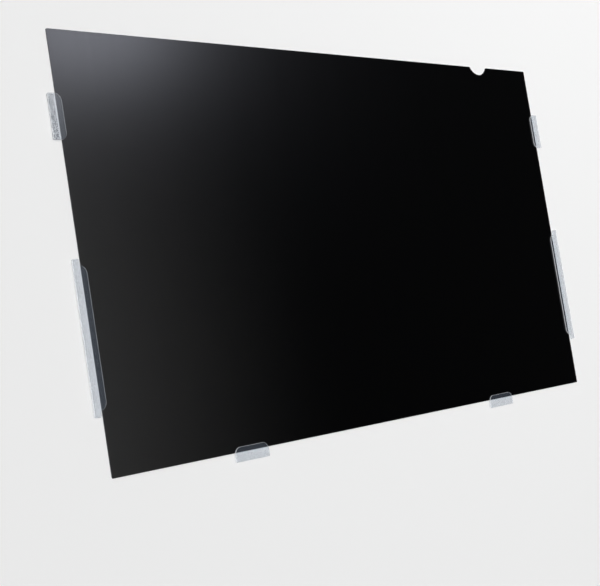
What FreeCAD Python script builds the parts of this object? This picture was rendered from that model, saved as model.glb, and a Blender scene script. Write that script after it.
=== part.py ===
# Monitor privacy filter of the 24-inch, 16:9 size: a louvre-film sheet and its clear slide-mount tabs.
# It lies face up, as it comes to rest: X runs along its width, Y up its height and Z out towards the viewer.
# The origin is the centre of the sheet's rear face, which it rests on. Sizes are in millimetres.

import FreeCAD
import Part

import math
import os

# Filter sheet, one laminated film cut to a 16:9 viewing area
sheet_width = 531.5
sheet_height = 299.0
sheet_thickness = 0.8
sheet_corner_radius = 1.0

# Thumb notch in the top edge, an arc of a circle with eased lips
notch_width = 23.5
notch_depth = 7.0
notch_from_right_edge = 70.8
notch_lip_radius = 0.8

# Section of every tab: a land stuck down beside the sheet and a flap that laps over it
tab_thickness = 0.8
tab_edge_round = 0.4
tab_outer_corner_radius = 0.9
land_width = 5.3
flap_overlap = 3.8

# Play that lets the sheet slide behind the tabs
side_gap = 1.5
slide_clearance = 0.15

# Short tabs, two at the sides and two along the bottom
short_tab_length = 31.7
short_tab_corner_radius = 5.4

# Long tabs, one at each side, whose land runs past the slanted ends of the flap in a shoulder
long_tab_length = 104.0
long_tab_shoulder = 3.8
long_tab_end_slant = 2.4
long_tab_corner_radius = 6.0
long_tab_shoulder_radius = 0.4

# Adhesive strips, a little smaller than the lands they hold down
adhesive_margin = 0.35
adhesive_corner_radius = 0.6

# Places of the tabs' middles, measured in from the sheet's edges; stuck on by hand, they differ a little
left_upper_from_top = 59.9
right_upper_from_top = 58.6
left_lower_from_bottom = 92.1
right_lower_from_bottom = 92.8
bottom_left_from_left = 120.5
bottom_right_from_right = 118.8

# Worked out from the sizes above
adhesive_thickness = sheet_thickness + slide_clearance
tab_width = land_width + side_gap + flap_overlap
left_edge = -sheet_width / 2
right_edge = sheet_width / 2
bottom_edge = -sheet_height / 2
top_edge = sheet_height / 2
outer_reach = side_gap + land_width

UP = FreeCAD.Vector(0, 0, 1)
TURN_LEFT_SIDE = -90
TURN_RIGHT_SIDE = 90
TURN_BOTTOM = 0


def rounded_wire(corners):
    """Closed outline through corners given as (x, y, radius), each rounded by a tangent arc."""
    points = [FreeCAD.Vector(x, y, 0) for x, y, radius in corners]
    arcs = []
    for i, (x, y, radius) in enumerate(corners):
        corner = points[i]
        to_last = (points[i - 1] - corner).normalize()
        to_next = (points[(i + 1) % len(points)] - corner).normalize()
        half_angle = to_last.getAngle(to_next) / 2
        inward = (to_last + to_next).normalize()
        start = corner + to_last * (radius / math.tan(half_angle))
        end = corner + to_next * (radius / math.tan(half_angle))
        middle = corner + inward * (radius / math.sin(half_angle) - radius)
        arcs.append((start, middle, end))
    edges = []
    for i, (start, middle, end) in enumerate(arcs):
        edges.append(Part.LineSegment(arcs[i - 1][2], start).toShape())
        edges.append(Part.Arc(start, middle, end).toShape())
    return Part.Wire(edges)


def plate(corners, thickness):
    """Flat solid of that outline, from z = 0 upwards."""
    return Part.Face(rounded_wire(corners)).extrude(UP * thickness)


def rectangle(low_x, low_y, high_x, high_y, radius):
    """Corners of an upright rectangle, all with the same radius."""
    return [(low_x, low_y, radius), (high_x, low_y, radius), (high_x, high_y, radius), (low_x, high_y, radius)]


def filter_sheet():
    """The louvre-film sheet, with the thumb notch cut through its top edge."""
    sheet = plate(rectangle(left_edge, bottom_edge, right_edge, top_edge, sheet_corner_radius), sheet_thickness)
    notch_x = right_edge - notch_from_right_edge
    notch_radius = ((notch_width / 2) ** 2 + notch_depth ** 2) / (2 * notch_depth)
    notch_centre = FreeCAD.Vector(notch_x, top_edge - notch_depth + notch_radius, 0)
    sheet = sheet.cut(Part.makeCylinder(notch_radius, sheet_thickness, notch_centre, UP))
    lips = [edge for edge in sheet.Edges if is_notch_lip(edge, notch_x)]
    return sheet.makeFillet(notch_lip_radius, lips)


def is_notch_lip(edge, notch_x):
    """True for the two edges through the sheet where the notch meets the top edge."""
    middle = edge.CenterOfMass
    across = abs(abs(middle.x - notch_x) - notch_width / 2)
    tolerance = sheet_thickness / 100
    return across < tolerance and abs(middle.y - top_edge) < tolerance


# In a tab's own frame x runs along its length and y from the land's outer edge to the flap's tip


def short_tab_corners():
    """Outline of a short tab: square on the land, round on the flap."""
    half = short_tab_length / 2
    return [
        (-half, 0, tab_outer_corner_radius),
        (half, 0, tab_outer_corner_radius),
        (half, tab_width, short_tab_corner_radius),
        (-half, tab_width, short_tab_corner_radius),
    ]


def long_tab_corners():
    """Outline of a long tab: the flap is set back from both ends of the land and narrows to its tip."""
    half = long_tab_length / 2
    flap_root_half = half - long_tab_shoulder
    flap_tip_half = flap_root_half - long_tab_end_slant
    return [
        (-half, 0, tab_outer_corner_radius),
        (half, 0, tab_outer_corner_radius),
        (half, land_width, tab_outer_corner_radius),
        (flap_root_half, land_width, long_tab_shoulder_radius),
        (flap_tip_half, tab_width, long_tab_corner_radius),
        (-flap_tip_half, tab_width, long_tab_corner_radius),
        (-flap_root_half, land_width, long_tab_shoulder_radius),
        (-half, land_width, tab_outer_corner_radius),
    ]


def tab(corners):
    """Clear tab of that outline, its front edge eased all round, its underside on top of the adhesive."""
    blank = plate(corners, tab_thickness)
    front = max(blank.Faces, key=lambda face: face.CenterOfMass.z)
    eased = blank.makeFillet(tab_edge_round, front.Edges)
    return eased.translated(UP * adhesive_thickness)


def adhesive(length):
    """Strip of clear double-sided tape under the land of a tab of that length."""
    half = length / 2 - adhesive_margin
    outline = rectangle(-half, adhesive_margin, half, land_width - adhesive_margin, adhesive_corner_radius)
    return plate(outline, adhesive_thickness)


def place(solid, turn, x, y):
    """The solid turned about Z, with the outer edge of its land set at that point."""
    return solid.rotated(FreeCAD.Vector(0, 0, 0), UP, turn).translated(FreeCAD.Vector(x, y, 0))


def save(solid, node):
    """Writes one node and prints what it measures."""
    box = solid.optimalBoundingBox()
    print(f"{node}: {box.XLength:.2f} x {box.YLength:.2f} x {box.ZLength:.2f} mm, {solid.Volume:.1f} mm3")
    solid.exportStep(f"parts/{node}.step")


def main():
    os.makedirs("parts", exist_ok=True)
    save(filter_sheet(), "filter_sheet")
    short = (short_tab_corners(), short_tab_length)
    long = (long_tab_corners(), long_tab_length)
    left_x = left_edge - outer_reach
    right_x = right_edge + outer_reach
    bottom_y = bottom_edge - outer_reach
    tabs = [
        ("left_upper", short, TURN_LEFT_SIDE, left_x, top_edge - left_upper_from_top),
        ("left_lower", long, TURN_LEFT_SIDE, left_x, bottom_edge + left_lower_from_bottom),
        ("right_upper", short, TURN_RIGHT_SIDE, right_x, top_edge - right_upper_from_top),
        ("right_lower", long, TURN_RIGHT_SIDE, right_x, bottom_edge + right_lower_from_bottom),
        ("bottom_left", short, TURN_BOTTOM, left_edge + bottom_left_from_left, bottom_y),
        ("bottom_right", short, TURN_BOTTOM, right_edge - bottom_right_from_right, bottom_y),
    ]
    for name, (corners, length), turn, x, y in tabs:
        save(place(tab(corners), turn, x, y), f"{name}_tab")
        save(place(adhesive(length), turn, x, y), f"{name}_adhesive")


main()
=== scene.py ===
# %% [markdown]
# # A monitor privacy filter, dressed for its portrait
# The solids come from the CAD model: a thin louvre-film sheet with a thumb notch, six clear tabs and the
# adhesive strip under each of them. They already have the right size and place, so this lesson is about
# finishes and light. A black film and clear plastic are hard to show, because most of what the eye sees
# on them is a reflection of something else.

# %% Load the frame
import math

import bpy
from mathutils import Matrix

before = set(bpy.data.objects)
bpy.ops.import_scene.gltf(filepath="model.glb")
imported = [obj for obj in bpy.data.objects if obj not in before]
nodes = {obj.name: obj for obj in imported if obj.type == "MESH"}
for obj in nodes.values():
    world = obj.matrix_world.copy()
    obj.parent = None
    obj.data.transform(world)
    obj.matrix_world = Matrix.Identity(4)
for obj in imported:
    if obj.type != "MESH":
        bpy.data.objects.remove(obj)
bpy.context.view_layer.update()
sheet = nodes["filter_sheet"]
tabs = [nodes[name] for name in sorted(nodes) if name.endswith("_tab")]
strips = [nodes[name] for name in sorted(nodes) if name.endswith("_adhesive")]
scene = bpy.context.scene
bpy.ops.object.select_all(action="DESELECT")
print(f"loaded the sheet, {len(tabs)} tabs and {len(strips)} adhesive strips")

# %% [markdown]
# ## Camera
# The picture is taken from the left of the film, at about 45 degrees to it. The four edges of the sheet
# give the camera's place and turn. Working this out once is better than nudging a camera by eye.

# %% Camera
CAMERA_PLACE = (-0.7309, -0.1035, 0.6804)
CAMERA_TURN_DEG = (12.284, -42.780, -12.370)
CAMERA_LENS_MM = 75.16
CAMERA_SENSOR_MM = 36.0

camera_data = bpy.data.cameras.new("portrait_camera")
camera_data.sensor_fit = "HORIZONTAL"
camera_data.sensor_width = CAMERA_SENSOR_MM
camera_data.lens = CAMERA_LENS_MM
camera = bpy.data.objects.new("portrait_camera", camera_data)
camera.location = CAMERA_PLACE
camera.rotation_euler = [math.radians(angle) for angle in CAMERA_TURN_DEG]
scene.collection.objects.link(camera)
scene.camera = camera
scene.view_settings.view_transform = "Standard"
print("camera stands", round(camera.location.z, 3), "m above the sheet")

# %% [markdown]
# ## Floor
# The filter lies on a plain pale floor. The floor is set a hair below the sheet, because two faces at the
# very same height flicker against each other in a render.

# %% Floor
FLOOR_RADIUS = 25.0
FLOOR_DROP = 0.0002
FLOOR_SIDES = 96
FLOOR_COLOUR = (0.88, 0.88, 0.88, 1.0)
FLOOR_ROUGHNESS = 0.9
FLOOR_SPECULAR = 0.0

bpy.ops.mesh.primitive_circle_add(
    vertices=FLOOR_SIDES, radius=FLOOR_RADIUS, fill_type="NGON", location=(0, 0, -FLOOR_DROP)
)
floor = bpy.context.object
floor.name = "floor"
floor_finish = bpy.data.materials.new("pale_floor")
floor_finish.use_nodes = True
floor_shader = floor_finish.node_tree.nodes["Principled BSDF"]
floor_shader.inputs["Base Color"].default_value = FLOOR_COLOUR
floor_shader.inputs["Roughness"].default_value = FLOOR_ROUGHNESS
floor_shader.inputs["Specular IOR Level"].default_value = FLOOR_SPECULAR
floor.data.materials.append(floor_finish)
print("floor laid, radius", FLOOR_RADIUS, "m")

# %% [markdown]
# ## Light
# A broad soft lamp from the camera's side lights everything evenly and stays out of the film's mirror
# image. One softbox hangs where the film's upper left corner mirrors it to the camera: that is the pale
# glow on the film.

# %% Soft lamp and softbox
LAMP_FROM = (-0.50, 0.05, 0.84)
LAMP_STRENGTH = 3.15
LAMP_WIDTH_DEG = 60.0
SOFTBOX_PLACE = (0.415, 0.505, 0.95)
SOFTBOX_WIDTH = 0.34
SOFTBOX_DEPTH = 0.05
SOFTBOX_POWER = 1.95


def add_light(name, kind, place, power):
    """A new lamp of that kind, place and power."""
    data = bpy.data.lights.new(name, kind)
    data.energy = power
    made = bpy.data.objects.new(name, data)
    made.location = place
    scene.collection.objects.link(made)
    return made


lamp = add_light("soft_lamp", "SUN", LAMP_FROM, LAMP_STRENGTH)
lamp.data.angle = math.radians(LAMP_WIDTH_DEG)
lamp.rotation_mode = "QUATERNION"
lamp.rotation_quaternion = lamp.location.to_track_quat("Z", "Y")
softbox = add_light("softbox", "AREA", SOFTBOX_PLACE, SOFTBOX_POWER)
softbox.data.shape = "RECTANGLE"
softbox.data.size = SOFTBOX_WIDTH
softbox.data.size_y = SOFTBOX_DEPTH
print("lights:", lamp.name, "and", softbox.name)

# %% [markdown]
# ## Helpers for node trees
# A finish is a tree of nodes, and the same few steps come up in each: add a node, feed its sockets, work
# out a value, blend two colours. Each step is a small function here, so a finish further down reads like
# a recipe. An input takes either a plain value or the output of another node. Some sockets of a Math or
# Mix node share one name, so these are picked by their place in the node's list.

# %% Helpers: nodes and links
MATH_FIRST = 0
MATH_SECOND = 1
MIX_FACTOR = 0
MIX_FIRST_COLOUR = 6
MIX_SECOND_COLOUR = 7
MIX_COLOUR_RESULT = 2
MASK_OFF = 0.0
MASK_ON = 1.0


def feed(tree, socket, value):
    """Sets an input socket to a plain value, or links it to another node's output."""
    if isinstance(value, bpy.types.NodeSocket):
        tree.links.new(value, socket)
    else:
        socket.default_value = value


def add_node(tree, kind, inputs=None, **settings):
    """A new node with its settings made and its inputs fed."""
    made = tree.nodes.new(kind)
    for name, value in settings.items():
        setattr(made, name, value)
    for name, value in (inputs or {}).items():
        feed(tree, made.inputs[name], value)
    return made


def calculate(tree, operation, first, second=MASK_OFF, clamp=True):
    """The output of a Math node on one or two values, clamped to 0 and 1 unless told otherwise."""
    inputs = {MATH_FIRST: first, MATH_SECOND: second}
    made = add_node(tree, "ShaderNodeMath", inputs, operation=operation, use_clamp=clamp)
    return made.outputs["Value"]


def blend_colours(tree, factor, first, second):
    """The output of a Mix node between two colours."""
    inputs = {MIX_FACTOR: factor, MIX_FIRST_COLOUR: first, MIX_SECOND_COLOUR: second}
    made = add_node(tree, "ShaderNodeMix", inputs, data_type="RGBA")
    return made.outputs[MIX_COLOUR_RESULT]


def spread(tree, value, low, high, to_low=MASK_OFF, to_high=MASK_ON, smooth=False):
    """The output of a Map Range node that carries low..high over to to_low..to_high."""
    inputs = {"Value": value, "From Min": low, "From Max": high, "To Min": to_low, "To Max": to_high}
    step = "SMOOTHSTEP" if smooth else "LINEAR"
    made = add_node(tree, "ShaderNodeMapRange", inputs, clamp=True, interpolation_type=step)
    return made.outputs["Result"]


print("node helpers ready")

# %% [markdown]
# ## Room
# A film this black shows whatever stands opposite it. The room is pale only near the horizon, for the
# background beyond the floor, and dark overhead, so that the film mirrors darkness and can be truly black.

# %% Room
ROOM_PALE = (0.80, 0.80, 0.80, 1.0)
ROOM_DARK = (0.004, 0.004, 0.004, 1.0)
ROOM_PALE_UNTIL = 0.0
ROOM_DARK_FROM = 0.25

room = bpy.data.worlds.new("studio_room")
room.use_nodes = True
scene.world = room
room_tree = room.node_tree
room_tree.nodes.clear()
direction = add_node(room_tree, "ShaderNodeTexCoord")
height = add_node(room_tree, "ShaderNodeSeparateXYZ", {"Vector": direction.outputs["Generated"]})
rise = spread(room_tree, height.outputs["Z"], ROOM_PALE_UNTIL, ROOM_DARK_FROM, smooth=True)
room_colour = blend_colours(room_tree, rise, ROOM_PALE, ROOM_DARK)
background = add_node(room_tree, "ShaderNodeBackground", {"Color": room_colour})
add_node(room_tree, "ShaderNodeOutputWorld", {"Surface": background.outputs["Background"]})
print("room: pale at the horizon, dark overhead")

# %% [markdown]
# ## Effects that several finishes share
# Cut edges and fine grain turn up on the film and on the tabs, and specks are dust on those two and air
# bubbles in the tape. Each effect is built once, as a node group that gives a mask or a height, and every
# finish places it with its own values. Cut edges are found by their normals: the faces of a sheet look
# straight up or down, and its edges don't.

# %% Shared effect: cut edges
EDGE_NORMAL = 0.90
FACE_NORMAL = 0.99


def new_group(name, inputs, output):
    """A shader node group with those float inputs and one float output."""
    group = bpy.data.node_groups.new(name, "ShaderNodeTree")
    for socket_name in inputs:
        group.interface.new_socket(socket_name, in_out="INPUT", socket_type="NodeSocketFloat")
    group.interface.new_socket(output, in_out="OUTPUT", socket_type="NodeSocketFloat")
    return group


cut_edge = new_group("cut_edge", [], "Mask")
edge_coords = add_node(cut_edge, "ShaderNodeTexCoord")
edge_normal = add_node(cut_edge, "ShaderNodeSeparateXYZ", {"Vector": edge_coords.outputs["Normal"]})
levelness = calculate(cut_edge, "ABSOLUTE", edge_normal.outputs["Z"])
edge_mask = spread(cut_edge, levelness, EDGE_NORMAL, FACE_NORMAL, MASK_ON, MASK_OFF)
add_node(cut_edge, "NodeGroupOutput", {"Mask": edge_mask})
print("group:", cut_edge.name)

# %% Shared effect: specks
specks = new_group("specks", ["Scale", "Reach"], "Mask")
speck_in = add_node(specks, "NodeGroupInput")
speck_coords = add_node(specks, "ShaderNodeTexCoord")
speck_cells = add_node(
    specks,
    "ShaderNodeTexVoronoi",
    {"Vector": speck_coords.outputs["Object"], "Scale": speck_in.outputs["Scale"]},
)
speck_chance = add_node(specks, "ShaderNodeSeparateColor", {"Color": speck_cells.outputs["Color"]})
speck_size = calculate(specks, "MULTIPLY", speck_chance.outputs["Red"], speck_in.outputs["Reach"])
speck_mask = calculate(specks, "LESS_THAN", speck_cells.outputs["Distance"], speck_size)
add_node(specks, "NodeGroupOutput", {"Mask": speck_mask})
print("group:", specks.name)

# %% Shared effect: fine grain
NOISE_DETAIL = 2.0
NOISE_ROUGHNESS = 0.55
NO_STRETCH = 1.0

fine_grain = new_group("fine_grain", ["Scale", "Stretch"], "Height")
grain_in = add_node(fine_grain, "NodeGroupInput")
grain_coords = add_node(fine_grain, "ShaderNodeTexCoord")
grain_place = add_node(fine_grain, "ShaderNodeSeparateXYZ", {"Vector": grain_coords.outputs["Object"]})
drawn_out = calculate(
    fine_grain, "DIVIDE", grain_place.outputs["Y"], grain_in.outputs["Stretch"], clamp=False
)
grain_vector = add_node(
    fine_grain,
    "ShaderNodeCombineXYZ",
    {"X": grain_place.outputs["X"], "Y": drawn_out, "Z": grain_place.outputs["Z"]},
)
grain_noise = add_node(
    fine_grain,
    "ShaderNodeTexNoise",
    {
        "Vector": grain_vector.outputs["Vector"],
        "Scale": grain_in.outputs["Scale"],
        "Detail": NOISE_DETAIL,
        "Roughness": NOISE_ROUGHNESS,
    },
)
add_node(fine_grain, "NodeGroupOutput", {"Height": grain_noise.outputs["Fac"]})
print("group:", fine_grain.name)

# %% [markdown]
# ## Helpers for finishes
# Every finish starts with an empty tree, places some of the shared effects in it and ends up on a piece.
# Each shared effect has one output, and each piece has one material slot.

# %% Helpers: finishes
ONLY_ONE = 0


def new_finish(name):
    """A material with an empty node tree and its output node."""
    finish = bpy.data.materials.new(name)
    finish.use_nodes = True
    finish.node_tree.nodes.clear()
    output = finish.node_tree.nodes.new("ShaderNodeOutputMaterial")
    return finish, finish.node_tree, output


def use_group(tree, group, **values):
    """The output of a group that is placed in a tree with its own values."""
    return add_node(tree, "ShaderNodeGroup", values, node_tree=group).outputs[ONLY_ONE]


def dress(piece, finish):
    """Gives a piece its finish."""
    piece.material_slots[ONLY_ONE].material = finish


print("finish helpers ready")

# %% [markdown]
# ## Louvre film
# Inside the film stand fine upright black louvres. Looking straight at it one sees through the gaps between
# them, and looking from the side only the louvres are left, so the film turns black. Modelling thousands of
# louvres would be slow. A Layer Weight node gives the slant of the view instead, and a smooth step turns
# that into clearness, which takes away from the film's alpha. Real louvres shut only sideways, and this film
# shuts in every direction. The outside is a satin hard coat with a very fine grain, a few specks of dust and
# faint streaks along the louvres, and the cut edge shows the paler layers of the laminate.

# %% Louvre film: colour and surface
FILM_BLACK = (0.0003, 0.0003, 0.0003, 1.0)
FILM_STREAK = (0.0008, 0.0008, 0.0008, 1.0)
FILM_EDGE = (0.055, 0.055, 0.060, 1.0)
FILM_DUST = (0.030, 0.030, 0.032, 1.0)
FILM_DUST_SCALE = 140.0
FILM_DUST_REACH = 0.035
STREAK_SCALE = 420.0
STREAK_STRETCH = 60.0
STREAK_LOW = 0.30
STREAK_HIGH = 0.70
SATIN_LEAST = 0.250
SATIN_MOST = 0.262
COAT_GRAIN_SCALE = 2600.0
COAT_GRAIN_STRENGTH = 0.04
COAT_GRAIN_HEIGHT = 0.00005

film, film_tree, film_output = new_finish("louvre_film")
film_edge = use_group(film_tree, cut_edge)
film_dust = use_group(film_tree, specks, Scale=FILM_DUST_SCALE, Reach=FILM_DUST_REACH)
film_streaks = use_group(film_tree, fine_grain, Scale=STREAK_SCALE, Stretch=STREAK_STRETCH)
film_grain = use_group(film_tree, fine_grain, Scale=COAT_GRAIN_SCALE, Stretch=NO_STRETCH)
streak_colour = blend_colours(film_tree, film_streaks, FILM_BLACK, FILM_STREAK)
dusty_colour = blend_colours(film_tree, film_dust, streak_colour, FILM_DUST)
film_colour = blend_colours(film_tree, film_edge, dusty_colour, FILM_EDGE)
satin = spread(film_tree, film_streaks, STREAK_LOW, STREAK_HIGH, SATIN_LEAST, SATIN_MOST)
film_bump = add_node(
    film_tree,
    "ShaderNodeBump",
    {"Strength": COAT_GRAIN_STRENGTH, "Distance": COAT_GRAIN_HEIGHT, "Height": film_grain},
)
print("streaks, dust, grain and pale edges on the film")

# %% Louvre film: louvres and shader
FILM_IOR = 1.5
FILM_SHEEN = (0.83, 0.86, 1.0, 1.0)
FILM_CLEARNESS = 0.51
LOUVRE_OPEN = 0.12
LOUVRE_SHUT = 0.335

slant = add_node(film_tree, "ShaderNodeLayerWeight")
louvre_gap = spread(
    film_tree, slant.outputs["Facing"], LOUVRE_OPEN, LOUVRE_SHUT, FILM_CLEARNESS, MASK_OFF, smooth=True
)
film_gap = calculate(film_tree, "SUBTRACT", louvre_gap, film_edge)
film_cover = calculate(film_tree, "SUBTRACT", MASK_ON, film_gap)
film_shader = add_node(
    film_tree,
    "ShaderNodeBsdfPrincipled",
    {
        "Base Color": film_colour,
        "Roughness": satin,
        "Normal": film_bump.outputs["Normal"],
        "Alpha": film_cover,
        "IOR": FILM_IOR,
        "Specular Tint": FILM_SHEEN,
    },
)
feed(film_tree, film_output.inputs["Surface"], film_shader.outputs["BSDF"])
dress(sheet, film)
print("film finish on", sheet.name)

# %% [markdown]
# ## Clear tabs
# The tabs are die-cut from clear sheet plastic. Their faces are almost invisible, with a faint haze and a
# pale blue tint, and the die leaves the cut edges frosted, so they catch the light as pale lines. A thin
# plate hardly bends what is behind it, so a low alpha with a Fresnel gloss on top is truer, and far quieter,
# than a glass shader. The tint is the same all over, so it is a fixed share of a tinted Transparent shader.
# The gloss sits on outer faces only: a ray that isn't bent as it enters would meet the inner side of the far
# face too flat, and be mirrored as if the plate were silvered.

# %% Clear tabs: haze, dust and frosted edges
TAB_HAZE = (0.34, 0.40, 0.50, 1.0)
TAB_HAZE_LEAST = 0.04
TAB_HAZE_MOST = 0.09
SCUFF_SCALE = 700.0
SCUFF_LOW = 0.35
SCUFF_HIGH = 0.70
TAB_DUST_SCALE = 500.0
TAB_DUST_REACH = 0.06
TAB_DUST_COVER = 0.5
EDGE_COLOUR = (0.93, 0.95, 0.98, 1.0)
EDGE_FROST = 0.52

tab_finish, tab_tree, tab_output = new_finish("clear_plastic")
tab_edge = use_group(tab_tree, cut_edge)
tab_dust = use_group(tab_tree, specks, Scale=TAB_DUST_SCALE, Reach=TAB_DUST_REACH)
tab_scuffs = use_group(tab_tree, fine_grain, Scale=SCUFF_SCALE, Stretch=NO_STRETCH)
tab_haze = spread(tab_tree, tab_scuffs, SCUFF_LOW, SCUFF_HIGH, TAB_HAZE_LEAST, TAB_HAZE_MOST)
tab_dusty = calculate(tab_tree, "MULTIPLY", tab_dust, TAB_DUST_COVER)
tab_frost = calculate(tab_tree, "MULTIPLY", tab_edge, EDGE_FROST)
tab_marks = calculate(tab_tree, "MAXIMUM", tab_dusty, tab_frost)
tab_cover = calculate(tab_tree, "MAXIMUM", tab_haze, tab_marks)
tab_pale = calculate(tab_tree, "MAXIMUM", tab_dust, tab_edge)
tab_colour = blend_colours(tab_tree, tab_pale, TAB_HAZE, EDGE_COLOUR)
print("haze, dust and frosted edges on the clear plastic")

# %% Clear tabs: tint and gloss
PLASTIC_IOR = 1.49
PLASTIC_POLISH = 0.27
TAB_HAZE_ROUGHNESS = 0.45
TAB_TINT = (0.55, 0.72, 0.92, 1.0)
TAB_TINT_SHARE = 0.07
MIX_FIRST_SHADER = 1
MIX_SECOND_SHADER = 2


def mix_shaders(tree, factor, first, second):
    """A Mix Shader node between the shaders of two nodes."""
    inputs = {
        MIX_FACTOR: factor,
        MIX_FIRST_SHADER: first.outputs[ONLY_ONE],
        MIX_SECOND_SHADER: second.outputs[ONLY_ONE],
    }
    return add_node(tree, "ShaderNodeMixShader", inputs)


tab_shader = add_node(
    tab_tree,
    "ShaderNodeBsdfPrincipled",
    {"Base Color": tab_colour, "Alpha": tab_cover, "Roughness": TAB_HAZE_ROUGHNESS, "IOR": PLASTIC_IOR},
)
tab_clear = add_node(tab_tree, "ShaderNodeBsdfTransparent", {"Color": TAB_TINT})
tab_inside = mix_shaders(tab_tree, TAB_TINT_SHARE, tab_shader, tab_clear)
tab_fresnel = add_node(tab_tree, "ShaderNodeFresnel", {"IOR": PLASTIC_IOR})
tab_side = add_node(tab_tree, "ShaderNodeNewGeometry")
tab_shine = calculate(tab_tree, "SUBTRACT", tab_fresnel.outputs["Fac"], tab_side.outputs["Backfacing"])
tab_gloss = add_node(tab_tree, "ShaderNodeBsdfGlossy", {"Roughness": PLASTIC_POLISH})
tab_mix = mix_shaders(tab_tree, tab_shine, tab_inside, tab_gloss)
feed(tab_tree, tab_output.inputs["Surface"], tab_mix.outputs["Shader"])
for tab in tabs:
    dress(tab, tab_finish)
print("clear finish on", len(tabs), "tabs")

# %% [markdown]
# ## Adhesive strips
# Each tab is held by a strip of clear double-sided tape. Where it has wetted the surface it is clear, and
# where air is caught in it there are tiny grey bubbles of many sizes. Modelled bubbles would be smaller than
# a pixel, so the group that makes dust specks makes them too, set finer and closer together. The strip of
# the upper left tab has kept much more air than the others, so the same recipe is mixed twice, with strong
# and with faint bubbles.

# %% Adhesive finish
TAPE_AIR = (0.10, 0.11, 0.14, 1.0)
TAPE_ROUGHNESS = 0.5
TAPE_IOR = 1.47
BUBBLE_SCALE = 2000.0
BUBBLE_REACH = 0.66
LITTLE_AIR = 0.10
MUCH_AIR = 0.85
AIRY_STRIP = "left_upper_adhesive"


def tape_finish(name, air):
    """Clear tape whose bubbles cover that share of what lies behind them."""
    finish, tree, output = new_finish(name)
    bubbles = use_group(tree, specks, Scale=BUBBLE_SCALE, Reach=BUBBLE_REACH)
    cover = calculate(tree, "MULTIPLY", bubbles, air)
    shader = add_node(
        tree,
        "ShaderNodeBsdfPrincipled",
        {"Base Color": TAPE_AIR, "Alpha": cover, "Roughness": TAPE_ROUGHNESS, "IOR": TAPE_IOR},
    )
    feed(tree, output.inputs["Surface"], shader.outputs["BSDF"])
    return finish


wetted_tape = tape_finish("adhesive", LITTLE_AIR)
airy_tape = tape_finish("adhesive_with_air", MUCH_AIR)
for strip in strips:
    dress(strip, wetted_tape)
dress(nodes[AIRY_STRIP], airy_tape)
print("tape finish on", len(strips), "strips")
